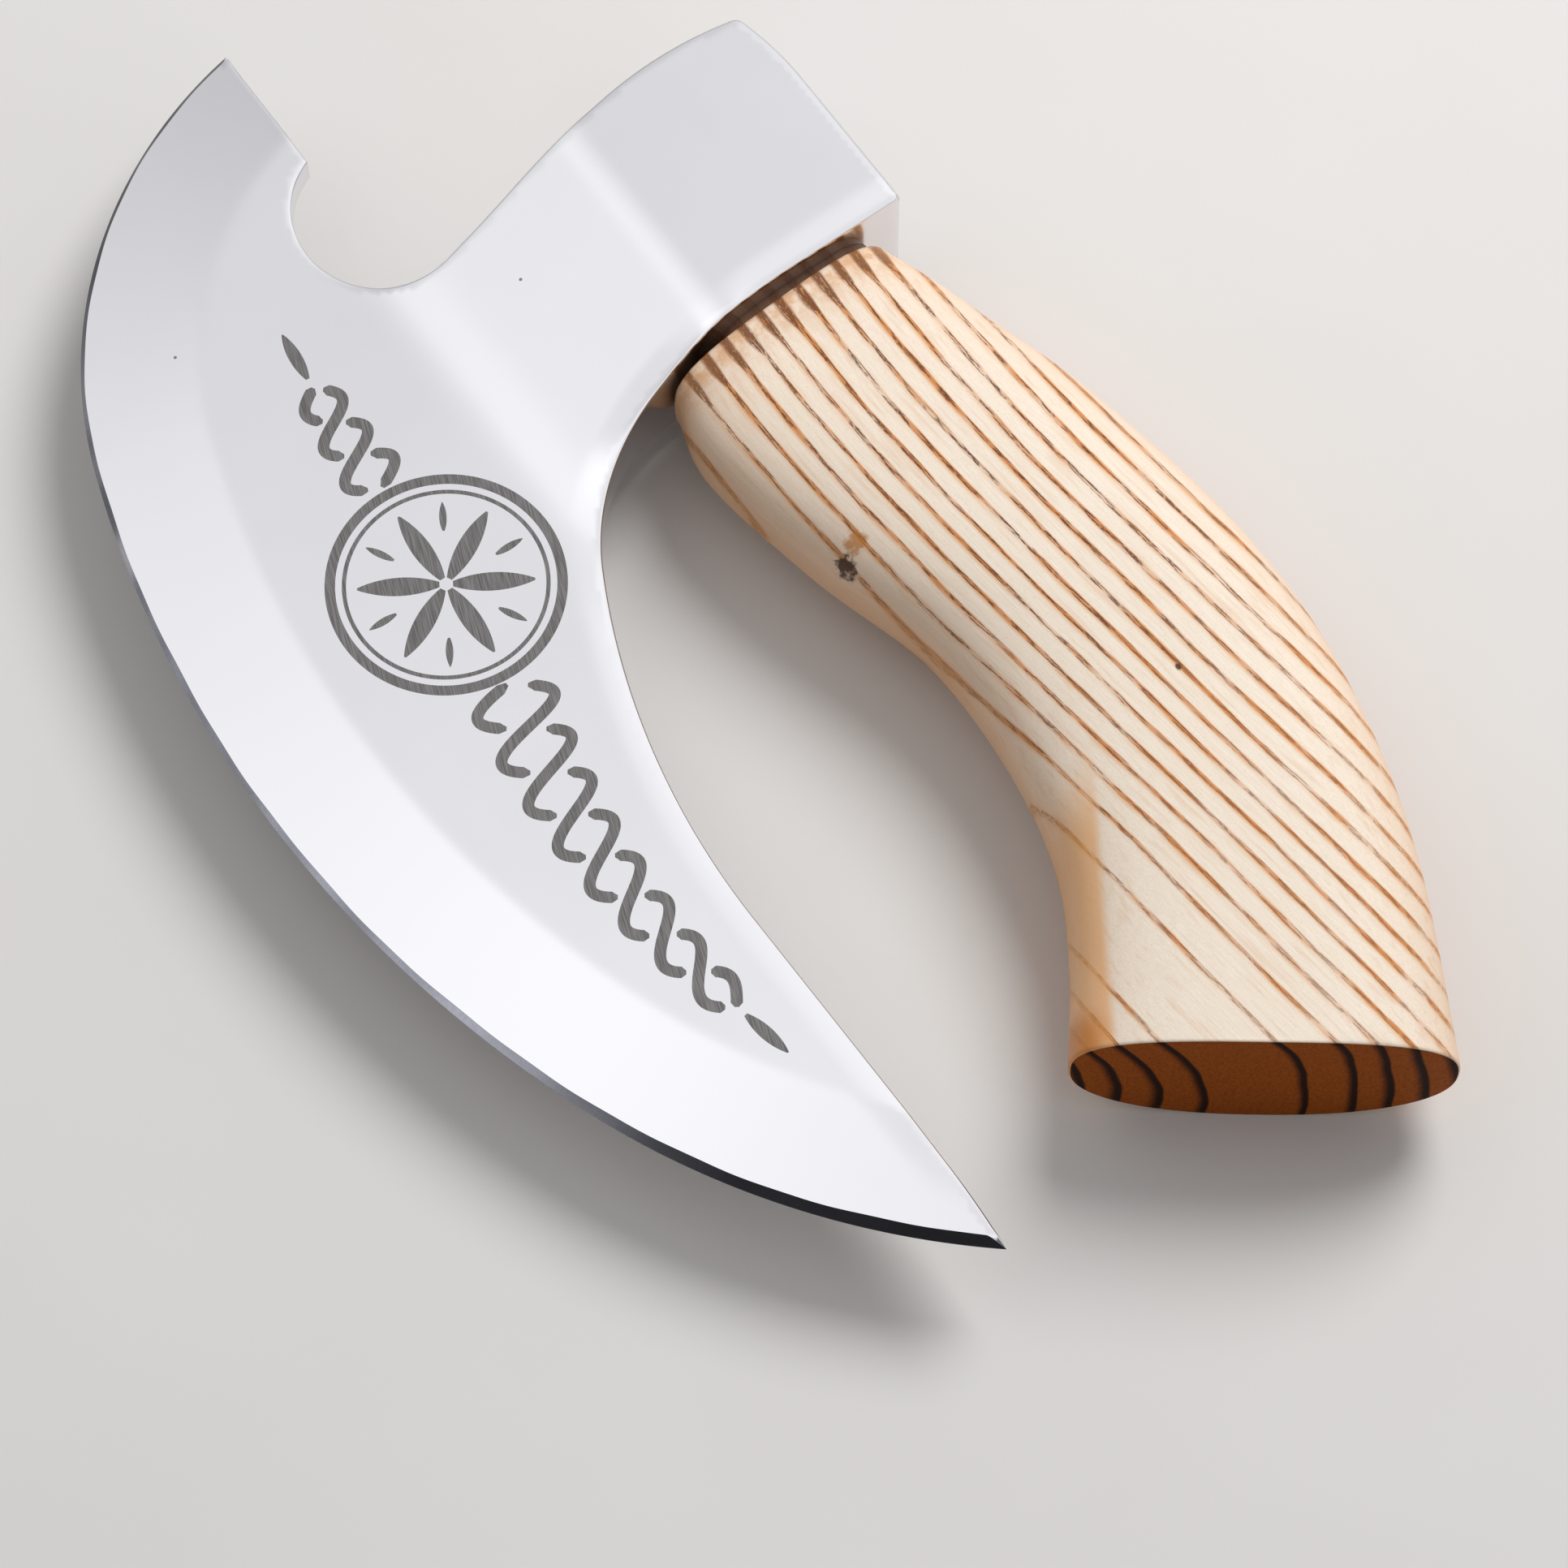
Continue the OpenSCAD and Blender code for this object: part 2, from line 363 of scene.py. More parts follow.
def edge_depth(points):
    """Depth behind the cutting edge and distance along it, for each point.

    The first and the last arc carry on past the edge's ends, by PAST_TOE and PAST_HEEL degrees.
    """
    depth = np.full(len(points), FAR)
    along = np.zeros(len(points))
    run = 0.0
    arcs = edge_centres()
    for i, (centre, radius, heading, sweep) in enumerate(arcs):
        offset = points - centre
        reach = np.hypot(offset[:, 0], offset[:, 1])
        angle = np.degrees(np.arctan2(offset[:, 1], offset[:, 0])) - (heading - 90)
        angle = (angle + 180) % 360 - 180
        low = -PAST_TOE if i == 0 else 0
        high = sweep + (PAST_HEEL if i == len(arcs) - 1 else 0)
        here = (angle >= low) & (angle <= high) & (radius - reach < depth) & (reach > radius / 6)
        depth[here] = (radius - reach)[here]
        along[here] = run + radius * np.radians(angle[here])
        run += radius * math.radians(sweep)
    return depth, along


def honed_width(along):
    """Narrow at the toe and wide at the heel, with the slight wander of hand honing."""
    share = np.clip(along / 250, 0, 1)
    wander = 0.05 * np.sin(along / 5.3) + 0.04 * np.sin(along / 2.1 + 1)
    return 0.6 + 0.2 * share + 0.75 * smooth_step(share, 0.55, 1.0) + wander


def grind_height(depth):
    """Half of the thickness of the ground zone, which rises in a straight line from the edge."""
    slope = (BLADE_T - HONED_T) / 2 / (GRIND_W - 1)
    return HONED_T / 2 + (depth - 1) * slope


def bevel_height(depth, along):
    """Half of the thickness on the honed bevel, and behind it on the ground zone."""
    width = honed_width(along)
    top = grind_height(width)
    on_bevel = EDGE_T / 2 + (top - EDGE_T / 2) * depth / width
    return np.where(depth < width, on_bevel, grind_height(depth))


STRIP_W = 4.6
STRIP_DROP = 0.30
STRIP_ROLL = 1.4
STRIP_AT_CHEEK = 0.4
CHEEK_SOFT = 3.2
GRIND_SOFT = 0.09
PLATE_SOFT = 0.35
BLOCK_LOW_Y = -46.0


def block_height(points):
    """The thick block round the eye, hollowed into the blade. It ends below the bite's centre."""
    x, y = points.T
    buried = (BLADE_T - BURIED) / 2
    rise = BLOCK_T / 2 - buried
    reach = math.sqrt(CHEEK_HOLLOW_R**2 - (CHEEK_HOLLOW_R - rise) ** 2)
    beyond = x + CHEEK_LEN + reach
    d = np.clip(beyond, 0, CHEEK_HOLLOW_R * 0.9)
    hollow = buried + CHEEK_HOLLOW_R - np.sqrt(CHEEK_HOLLOW_R**2 - d**2)
    sunk = hollow + np.minimum(beyond, 0)
    sunk = np.where((y > BLOCK_LOW_Y) & (y < BITE_CENTRE[1]), sunk, -BLOCK_T)
    return smooth_min(sunk, np.full_like(hollow, BLOCK_T / 2), CHEEK_SOFT)


def head_height(points, spine):
    """Half of the head's thickness at each point."""
    depth, along = edge_depth(points)
    flat = np.full(len(points), BLADE_T / 2)
    ground = smooth_min(bevel_height(depth, along), flat, GRIND_SOFT)
    plate = np.where(depth < GRIND_W + 5, ground, flat)
    height = smooth_max(block_height(points), plate, PLATE_SOFT)

    # The strip along the underside rolls over, less at the cheek and not at all near the edge
    gap = distance_to_line(points, spine)
    roll = np.clip(1 - gap / STRIP_W, 0, 1) ** STRIP_ROLL
    fade = smooth_step(depth, 4, 14)
    beside_cheek = smooth_step(np.abs(points[:, 0] + CHEEK_LEN - 2), 2, 10)
    share = STRIP_AT_CHEEK + (1 - STRIP_AT_CHEEK) * beside_cheek
    return height - STRIP_DROP * share * roll * fade


LEVELS = 9
POLL_SIDE_X = -8.0


def inward_normals(loop):
    """Directions into the outline, longer at corners so that an inset keeps its depth."""
    back = loop - np.roll(loop, 1, axis=0)
    ahead = np.roll(loop, -1, axis=0) - loop
    normals = []
    for a, b in zip(back, ahead):
        na = np.array([-a[1], a[0]]) / np.linalg.norm(a)
        nb = np.array([-b[1], b[0]]) / np.linalg.norm(b)
        mid = (na + nb) / np.linalg.norm(na + nb)
        normals.append(mid / max(mid @ na, 0.6))
    return np.array(normals)


def rim_profile(loop, edge_count, spine):
    """The outline at each level from the mid-plane up to the face: wall, crown and rounded rim.

    On the cutting edge the same levels climb the honed bevel instead.
    """
    n = len(loop)
    inward = inward_normals(loop)
    tips = loop[[0, edge_count - 1]]
    tip_gap = np.min([np.hypot(*(loop - t).T) for t in tips], axis=0)
    on_edge = np.arange(n) < edge_count
    along = edge_depth(loop)[1]
    spans = np.hypot(*np.diff(loop[:edge_count], axis=0).T)
    along[:edge_count] = np.concatenate([[0], np.cumsum(spans)])
    crown = POLL_CROWN * np.clip(-inward[:, 0], 0, 1) ** 2 * (loop[:, 0] > POLL_SIDE_X)
    rim = np.minimum(RIM_R, 0.12 * tip_gap)
    top = head_height(loop + inward * (crown + rim)[:, None], spine)
    rim = np.minimum(rim, 0.45 * top)
    wall = top - rim
    honed = np.minimum(honed_width(along), 0.6 * tip_gap)
    lips = [
        wall - np.maximum(0.12 * wall, 2 * crown / POLL_CROWN),
        wall - np.maximum(0.06 * wall, crown / POLL_CROWN),
        wall,
    ]
    positions = [np.column_stack([loop, np.zeros(n)])]
    for level in range(1, LEVELS):
        if level == 1:
            inset = np.zeros(n)
            height = lips[0] / 2
        elif level <= 4:
            inset = crown * (level - 2) / 2
            height = lips[level - 2]
        else:
            turn = math.radians(90 * (level - 4) / (LEVELS - 5))
            inset = crown + rim * (1 - math.cos(turn))
            height = wall + rim * math.sin(turn)
        reach = honed * (level - 1) / (LEVELS - 2)
        inset = np.where(on_edge, reach, inset)
        height = np.where(on_edge, bevel_height(reach, along), height)
        positions.append(np.column_stack([loop + inward * inset[:, None], height]))
    return positions


def strip_spine():
    """The part of the underside that the rolled strip follows."""
    spine = heel_cut(under_line(1.5))
    return spine[spine[:, 0] < POLL_CROWN - 0.5]


GRID = 1.0


def fill_points(ring, margin):
    """A triangular grid of points inside a ring."""
    low, high = ring.min(0), ring.max(0)
    rows = np.arange(low[1], high[1], GRID * math.sqrt(3) / 2)
    points = []
    for i, y in enumerate(rows):
        xs = np.arange(low[0] + (i % 2) * GRID / 2, high[0], GRID)
        points.append(np.column_stack([xs, np.full(len(xs), y)]))
    points = np.vstack(points)
    points = points[inside(points, ring)]
    closed = np.vstack([ring, ring[:1]])
    return points[distance_to_line(points, closed) > margin]


def make_head():
    """The steel head: rings of quads round the rim, filled with triangles on both faces."""
    loop, edge_count = head_stations()
    spine = strip_spine()
    rings = rim_profile(loop, edge_count, spine)
    n = len(loop)
    ring = rings[-1][:, :2]
    extra = fill_points(ring, 0.55 * GRID)
    flat = [Vector(p) for p in np.vstack([ring, extra])]
    _, _, triangles, origins, _, _ = delaunay_2d_cdt(flat, [], [list(range(n))], 1, 1e-6)
    source = [o[0] for o in origins]

    levels = list(range(-(LEVELS - 1), LEVELS))
    points = []
    for level in levels:
        side = 1 if level >= 0 else -1
        points.append(rings[abs(level)] * [1, 1, side])
    height = head_height(extra, spine)
    top_extra = np.column_stack([extra, height])
    points += [top_extra, top_extra * [1, 1, -1]]
    points = np.vstack(points)

    faces = ring_faces(len(levels), n)
    on_edge = [1 if i < edge_count - 1 else 0 for i in range(n)]
    slots = on_edge * (len(levels) - 1)
    top_ring = (len(levels) - 1) * n
    top_fill = len(levels) * n
    bottom_fill = top_fill + len(extra)
    for tri in triangles:
        keys = [source[i] for i in tri]
        faces.append(tuple(k + top_ring if k < n else k - n + top_fill for k in keys))
        faces.append(tuple(k if k < n else k - n + bottom_fill for k in reversed(keys)))

    depth, along = edge_depth(points[:, :2])
    crease = np.zeros(len(points))
    crease[top_ring : top_ring + edge_count] = 1
    crease[:edge_count] = 1
    slots += [0] * (len(faces) - len(slots))
    attributes = {"edge_mm": depth, "along_mm": along, "crease": crease}
    obj = make_object("axe_head_steel", points, faces, attributes, slots)
    clean(obj)
    cut(obj, [eye_tool()])
    shade(obj, 27)
    mark_crease(obj)
    return obj


def mark_crease(obj):
    """Keeps the line where the honed bevel starts crisp."""
    mesh = obj.data
    flags = np.zeros(len(mesh.vertices), np.float32)
    mesh.attributes["crease"].data.foreach_get("value", flags)
    sharp = mesh.attributes.get("sharp_edge") or mesh.attributes.new("sharp_edge", "BOOLEAN", "EDGE")
    for edge in mesh.edges:
        a, b = edge.vertices
        if flags[a] > 0.99 and flags[b] > 0.99:
            sharp.data[edge.index].value = True
    mesh.attributes.remove(mesh.attributes["crease"])


# ---- The eye and what fills it ----

EYE_MID_X = -POLL_WALL - EYE_LEN / 2
EYE_TOP_Y = top_line(1.0)[:, 1].max()
EYE_POINTS = 96
EYE_TOOL_REACH = 12.0
WEDGE_TOOL_REACH = 8.0
STEEL_INSET = 2.0


def eye_outline():
    """The eye's outline in x and z, about its middle."""
    r = EYE_W / 2
    half = EYE_LEN / 2 - r
    result = []
    for i in range(EYE_POINTS):
        a = 2 * math.pi * (i + 0.5) / EYE_POINTS
        side = half if math.cos(a) > 0 else -half
        result.append((side + r * math.cos(a), r * math.sin(a)))
    return result


def eye_tool():
    low, high = -EYE_TOOL_REACH, EYE_TOP_Y + EYE_TOOL_REACH
    return prism("eye_tool", eye_outline(), low, high, lambda a, b, h: (EYE_MID_X + a, h, b))


def top_height(x):
    """The height of the top of the eye at x."""
    line = top_line(0.5)
    return np.interp(x, line[:, 0], line[:, 1])


def wedge_outline(depth, thickness, gap):
    """A wedge's outline: thickness and height, thin at the bottom."""
    tip = thickness / 8 + gap
    head = thickness / 2 + gap
    low = EYE_TOP_Y - depth - gap
    high = EYE_TOP_Y + WEDGE_TOOL_REACH
    return [(-tip, low), (tip, low), (head, high), (-head, high)]


def wedge_tools(gap):
    """The slots for the wooden wedge and for the steel one across it."""
    wood = wedge_outline(WEDGE_DEPTH, WEDGE_T, gap)
    steel = wedge_outline(STEEL_DEPTH, STEEL_T, gap)
    half = EYE_W / 2 - STEEL_INSET + gap
    return [
        prism("wedge_tool", wood, -EYE_LEN, EYE_LEN, lambda a, b, h: (EYE_MID_X + h, b, a)),
        prism("steel_tool", steel, -half, half, lambda a, b, h: (EYE_MID_X + a, b, h)),
    ]


# ---- The etched ornament ----

ETCH_PROUD = 0.03
ETCH_SUNK = 0.12
ETCH_STEP = 0.45
ETCH_ROWS = 4
ROSETTE_AT = (-86.0, -9.0)
ROSETTE_R = 16.5
RING_BAND_W = 1.5
LINE_BAND_W = 0.6
PETAL_R = 13.0
SMALL_PETAL_R = 5.0
STRAND_W = 1.7
STRAND_GAP = 0.13
END_LEAF = 9.0


def offset_line(line, distance):
    """A line moved to its left by a distance, or by one distance for each point."""
    along = np.gradient(line, axis=0)
    left = np.column_stack([-along[:, 1], along[:, 0]])
    left /= np.linalg.norm(left, axis=1)[:, None]
    return line + left * np.broadcast_to(distance, len(line))[:, None]


def band(line, width):
    """The two sides of a strip of one width that tapers over its last few points."""
    share = np.minimum(np.arange(len(line)), np.arange(len(line))[::-1]) / 2
    half = width / 2 * (0.35 + 0.65 * np.minimum(share, 1))
    return offset_line(line, half), offset_line(line, -half)


def ring_band(centre, radius, width):
    """The two sides of a closed ring."""
    angles = np.linspace(0, 360, round(2 * math.pi * radius / ETCH_STEP))
    spokes = np.array([heading_vector(a) for a in angles])
    return centre + spokes * (radius + width / 2), centre + spokes * (radius - width / 2)


def petal(base, axis, length, fullness):
    """A leaf between two arcs of 60 degrees, from its base along an axis."""
    sides = []
    for turn in (60, -60):
        centre = base + length * heading_vector(axis + turn)
        angles = axis + 180 + turn + np.linspace(0.08, 0.97, 15) * turn
        sides.append(centre + length * np.array([heading_vector(a) for a in angles]))
    middle = (sides[0] + sides[1]) / 2
    return [middle + (side - middle) * fullness for side in sides]


def braid(start, heading, turns, crossings, wide, narrow):
    """Two strands that swing about a guide line, each passing under at every other crossing."""
    guide = walk(start, heading, turns, ETCH_STEP / 2)
    t = np.linspace(0, crossings, len(guide))
    swing = wide + (narrow - wide) * t / crossings
    strips = []
    for side in (0, 1):
        strand = offset_line(guide, swing * np.sin(math.pi * (t + side)))
        for first in range(side - 2, crossings, 2):
            shown = strand[(t > first + STRAND_GAP) & (t < first + 2 - STRAND_GAP)]
            if len(shown) > 4:
                strips.append(band(shown, STRAND_W))
    last = guide[-1] - guide[-2]
    axis = math.degrees(math.atan2(last[1], last[0]))
    strips.append(petal(guide[-1] + heading_vector(axis), axis, END_LEAF, 0.8))
    return strips


def ornament_strips():
    """A rosette of six petals in a ring, between two tapering braids that follow the blade."""
    centre = np.array(ROSETTE_AT)
    strips = [
        ring_band(centre, ROSETTE_R, RING_BAND_W),
        ring_band(centre, ROSETTE_R - 2.0, LINE_BAND_W),
    ]
    for k in range(6):
        axis = 60 * k + 88
        strips.append(petal(centre, axis, PETAL_R, 0.82))
        between = centre + (PETAL_R - SMALL_PETAL_R) * heading_vector(axis + 30)
        strips.append(petal(between, axis + 30, SMALL_PETAL_R, 0.8))
    reach = ROSETTE_R + 1.4
    heel_start = centre + reach * heading_vector(-96)
    toe_start = centre + reach * heading_vector(86)
    strips += braid(heel_start, -105, [(130, 26)], crossings=8, wide=6.0, narrow=2.4)
    strips += braid(toe_start, 92, [(-120, -9)], crossings=3, wide=4.4, narrow=2.6)
    return strips


def strip_solid(left, right, spine, base):
    """A thin closed slab between the two sides of a strip, laid on the head's face."""
    n = len(left)
    rows = ETCH_ROWS
    share = np.linspace(0, 1, rows)[None, :, None]
    flat = (left[:, None] * (1 - share) + right[:, None] * share).reshape(-1, 2)
    height = head_height(flat, spine)
    low = base
    high = base + n * rows
    under = np.column_stack([flat, height - ETCH_SUNK])
    over = np.column_stack([flat, height + ETCH_PROUD])
    points = np.vstack([under, over])
    faces = []
    for i in range(n - 1):
        for j in range(rows - 1):
            a = i * rows + j
            quad = (a, a + 1, a + rows + 1, a + rows)
            faces.append(tuple(high + k for k in quad))
            faces.append(tuple(low + k for k in reversed(quad)))
        for a in (i * rows, i * rows + rows - 1):
            faces.append((low + a, low + a + rows, high + a + rows, high + a))
    if not np.allclose(left[0], left[-1]):
        for i in (0, n - 1):
            for a in range(i * rows, i * rows + rows - 1):
                faces.append((low + a, low + a + 1, high + a + 1, high + a))
    return points, faces


def make_ornament():
    """Every strip of the ornament as one object."""
    spine = strip_spine()
    points = np.zeros((0, 3))
    faces = []
    for left, right in ornament_strips():
        more_points, more_faces = strip_solid(left, right, spine, len(points))
        points = np.vstack([points, more_points])
        faces += more_faces
    obj = make_object("etched_ornament", points, faces)
    clean(obj)
    shade(obj, 40)
    return obj


# ---- The handle ----

AROUND = 176
PER_SPAN = 28
SHOULDER_RINGS = 8
RIM_RINGS = 4
BUTT_RINGS = 12
BURN_SPANS = 0.75
BUTT_DOME = 1.0
BUTT_RIM = 0.45
TENON_BEVEL = 0.3
TENON_GAP_Y = 0.4
SANDING_AXIS_X = -15.0


def through(keys, u):
    """A smooth curve through the stations, where u counts stations."""
    i = min(int(u), len(keys) - 2)
    f = u - i
    a, b, c = keys[max(i - 1, 0)], keys[i], keys[i + 1]
    d = keys[min(i + 2, len(keys) - 1)]
    return (
        2 * b + (c - a) * f + (2 * a - 5 * b + 4 * c - d) * f**2 + (3 * b - a - 3 * c + d) * f**3
    ) / 2


def round_section(half_w, half_t, squareness):
    """Evenly spaced points round a superellipse, as offsets along its width and thickness."""
    t = np.linspace(0, 2 * math.pi, 1441)
    c, s = np.cos(t), np.sin(t)
    a = half_w * np.sign(c) * np.abs(c) ** (2 / squareness)
    b = half_t * np.sign(s) * np.abs(s) ** (2 / squareness)
    run = np.concatenate([[0], np.cumsum(np.hypot(np.diff(a), np.diff(b)))])
    wanted = np.linspace(0, run[-1], AROUND + 1)[:-1]
    return np.interp(wanted, run, a), np.interp(wanted, run, b)


def section(u, inset=0.0, push=0.0, scale=1.0):
    """One ring of the handle: inset shrinks it, and push moves it towards the butt."""
    s = through(STATIONS, u)
    back, front = s[0:2], s[2:4]
    half_w = np.linalg.norm(front - back) / 2
    across = (front - back) / (2 * half_w)
    down = np.array([-across[1], across[0]])
    if down[1] > 0:
        down = -down
    squareness = 3.0 - 0.5 * min(u / 2, 1)
    a, b = round_section((half_w - inset) * scale, (s[4] * BUTT_T / 2 - inset) * scale, squareness)
    last = len(STATIONS) - 1
    share = smooth_step(u, last - 0.7, last)
    dome = BUTT_DOME * share * (1 - (a / half_w) ** 2)
    xy = (back + front) / 2 + np.outer(a, across) + np.outer(dome + push, down)
    return np.column_stack([xy, b])


def hand_finish(points):
    """The shallow unevenness of a handle sanded by hand."""
    x, y, z = points.T
    swell = 0.10 * np.sin(y / 9.1 + x / 17 + z / 8) + 0.07 * np.sin(y / 4.7 - x / 11 + z / 5 + 2)
    out = np.column_stack([x - SANDING_AXIS_X, np.zeros(len(x)), z])
    out /= np.maximum(np.linalg.norm(out, axis=1), 1)[:, None]
    return points + out * swell[:, None]


def on_stadium(ring, inset):
    """Where rays from the eye's axis through a ring's points meet the eye's wall."""
    half = EYE_LEN / 2 - EYE_W / 2
    r = EYE_W / 2 - inset
    result = []
    for x, _, z in ring:
        dx, dz = x - EYE_MID_X, z
        length = math.hypot(dx, dz)
        dx, dz = dx / length, dz / length
        flat = r / abs(dz) if abs(dz) > 1e-9 else 1e9
        if abs(dx) * flat <= half:
            result.append((EYE_MID_X + dx * flat, dz * flat))
            continue
        side = math.copysign(half, dx)
        reach = dx * side + math.sqrt((dx * side) ** 2 - half**2 + r**2)
        result.append((EYE_MID_X + dx * reach, dz * reach))
    return np.array(result)


def at_height(flat, y):
    """Points in x and z, set at the given heights."""
    return np.column_stack([flat[:, 0], y, flat[:, 1]])


def tenon_rings():
    """Rings from the tenon's top down to the shoulder's face."""
    shoulder = section(0.0, SHOULDER_R, -SHOULDER_R)
    tenon = on_stadium(shoulder, CLEARANCE)
    small = on_stadium(shoulder, CLEARANCE + TENON_BEVEL)
    top = top_height(small[:, 0]) + PROUD
    crest = top_height(tenon[:, 0]) + PROUD - TENON_BEVEL
    root = shoulder[:, 1] + TENON_GAP_Y
    rings = [at_height(small, top)]
    for share in (0, 0.25, 0.5, 0.75, 0.9, 1.0):
        rings.append(at_height(tenon, crest + (root - crest) * share))
    inner = at_height(tenon, shoulder[:, 1])
    for share in (0.02, 0.5):
        rings.append(inner + (shoulder - inner) * share)
    return rings


def make_handle():
    """The ash handle, ring by ring from the tenon's top to the middle of the butt.

    One attribute says how scorched a ring is; it is 1 on the tenon, whose dark brown is a painted
    shadow of the gap under the eye.
    The other, butt, is 1 on the end grain.
    """
    last = len(STATIONS) - 1
    rings = tenon_rings()
    # The tenon's rings get the full value, and the wood paints them dark brown as the shadow of the gap
    # under the eye
    scorch_and_gap_shade = [1.0] * len(rings)
    for k in range(SHOULDER_RINGS):
        a = math.radians(90 - 90 * k / SHOULDER_RINGS)
        rings.append(section(0.0, SHOULDER_R * (1 - math.cos(a)), -SHOULDER_R * math.sin(a)))
        scorch_and_gap_shade.append(0.95 - 0.1 * k / SHOULDER_RINGS)
    for k in range(last * PER_SPAN + 1):
        u = k / PER_SPAN
        rings.append(hand_finish(section(u)))
        scorch_and_gap_shade.append(0.85 * max(0.0, 1 - u / BURN_SPANS))
    butt = [0.0] * len(rings)
    for k in range(1, RIM_RINGS + 1):
        a = math.radians(90 * k / RIM_RINGS)
        rings.append(section(last, BUTT_RIM * (1 - math.cos(a)), BUTT_RIM * math.sin(a)))
        butt.append(1.0 if k > RIM_RINGS / 2 else 0.0)
    for k in range(1, BUTT_RINGS + 1):
        rings.append(section(last, BUTT_RIM, BUTT_RIM, 1 - k / (BUTT_RINGS + 0.5)))
        butt.append(1.0)
    scorch_and_gap_shade += [0.0] * (len(butt) - len(scorch_and_gap_shade))

    n = AROUND
    points = np.vstack(rings)
    faces = ring_faces(len(rings), n)
    faces += [(k, k + 1, n - k - 1, (n - k) % n) for k in range(1, n // 2 - 1)]
    faces += [(0, 1, n - 1), (n // 2 - 1, n // 2, n // 2 + 1)]
    end = (len(rings) - 1) * n
    faces.append(tuple(end + i for i in range(n)))
    attributes = {"butt": np.repeat(butt, n), "scorch_and_gap_shade": np.repeat(scorch_and_gap_shade, n)}
    obj = make_object("ash_handle", points, faces, attributes)
    clean(obj)
    cut(obj, wedge_tools(CLEARANCE))
    shade(obj, 50)
    return obj


# ---- Materials ----

COAT_ROUGHNESS = 0.25


class Nodes:
    """A short way to write a node tree."""

    def __init__(self, tree):
        self.tree = tree
        tree.nodes.clear()

    def add(self, kind, **settings):
        node = self.tree.nodes.new(kind)
        for key, value in settings.items():
            setattr(node, key, value)
        return node

    def put(self, socket, value):
        if isinstance(value, bpy.types.NodeSocket):
            self.tree.links.new(value, socket)
        elif value is not None:
            socket.default_value = value

    def put_all(self, node, values):
        for name, value in values.items():
            self.put(node.inputs[name], value)

    def math(self, operation, a, b=None, c=None):
        node = self.add("ShaderNodeMath", operation=operation)
        for socket, value in zip(node.inputs, (a, b, c)):
            self.put(socket, value)
        return node.outputs[0]

    def step(self, value, low, high, to_low=0.0, to_high=1.0):
        """A smooth change from to_low at low to to_high at high. Low may be the larger one."""
        node = self.add("ShaderNodeMapRange", interpolation_type="SMOOTHSTEP")
        self.put_all(node, {"Value": value, "From Min": low, "From Max": high})
        self.put_all(node, {"To Min": to_low, "To Max": to_high})
        return node.outputs[0]

    def product(self, a, b):
        return self.math("MULTIPLY", a, b)

    def minus(self, a, b):
        return self.math("SUBTRACT", a, b)

    def linear(self, a, slope, start):
        return self.math("MULTIPLY_ADD", a, slope, start)

    def mix(self, factor, a, b):
        node = self.add("ShaderNodeMix", data_type="RGBA")
        self.put_all(node, {"Factor": factor, "A": a, "B": b})
        return node.outputs["Result"]

    def combine(self, x, y, z):
        node = self.add("ShaderNodeCombineXYZ")
        for socket, value in zip(node.inputs, (x, y, z)):
            self.put(socket, value)
        return node.outputs[0]

    def stretch(self, at, scales):
        """A vector of coordinates, each scaled by its own factor."""
        return self.combine(*(self.product(v, scale) for v, scale in zip(at, scales)))

    def noise(self, vector, scale=1.0, detail=2.0, roughness=0.5):
        node = self.add("ShaderNodeTexNoise")
        values = {"Vector": vector, "Scale": scale, "Detail": detail, "Roughness": roughness}
        self.put_all(node, values)
        return node.outputs["Fac"]

    def attribute(self, name):
        return self.add("ShaderNodeAttribute", attribute_name=name).outputs["Fac"]

    def position(self):
        """The part's own drawing frame, in millimetres: x, y and z."""
        coords = self.add("ShaderNodeTexCoord").outputs["Object"]
        split = self.add("ShaderNodeSeparateXYZ")
        self.put(split.inputs[0], coords)
        return [self.linear(split.outputs[i], 1 / MM, -float(SHIFT[i])) for i in range(3)]

    def near(self, at, centre, radii):
        """Distance from a centre, in units of the given radii."""
        offsets = [self.minus(v, c) for v, c in zip(at, centre)]
        node = self.add("ShaderNodeVectorMath", operation="LENGTH")
        self.put(node.inputs[0], self.stretch(offsets, [1 / r for r in radii]))
        return node.outputs["Value"]

    def surface(self, colour, roughness, height=None, bump=0.1, metallic=0.0, coat=0.0):
        """The finished surface, with bumps of bump millimetres where there is a height."""
        shader = self.add("ShaderNodeBsdfPrincipled")
        self.put_all(shader, {"Base Color": colour, "Roughness": roughness, "Metallic": metallic})
        self.put_all(shader, {"Coat Weight": coat, "Coat Roughness": COAT_ROUGHNESS})
        if height is not None:
            node = self.add("ShaderNodeBump")
            self.put_all(node, {"Height": height, "Strength": 1.0, "Distance": bump * MM})
            self.put(shader.inputs["Normal"], node.outputs[0])
        out = self.add("ShaderNodeOutputMaterial")
        self.put(out.inputs["Surface"], shader.outputs[0])
        return shader


def material(name):
    made = bpy.data.materials.new(name)
    made.use_nodes = True
    return made, Nodes(made.node_tree)


def srgb(r, g, b):
    """A colour given as 0 to 255 display values."""
    values = []
    for v in (r, g, b):
        v /= 255
        values.append(v / 12.92 if v <= 0.04045 else ((v + 0.055) / 1.055) ** 2.4)
    return (*values, 1.0)


PITS = [(-97.2, 43.5, 2.6), (-50.6, 23.2, 6.0)]
PIT_RADII = (0.3, 0.3, 3.0)


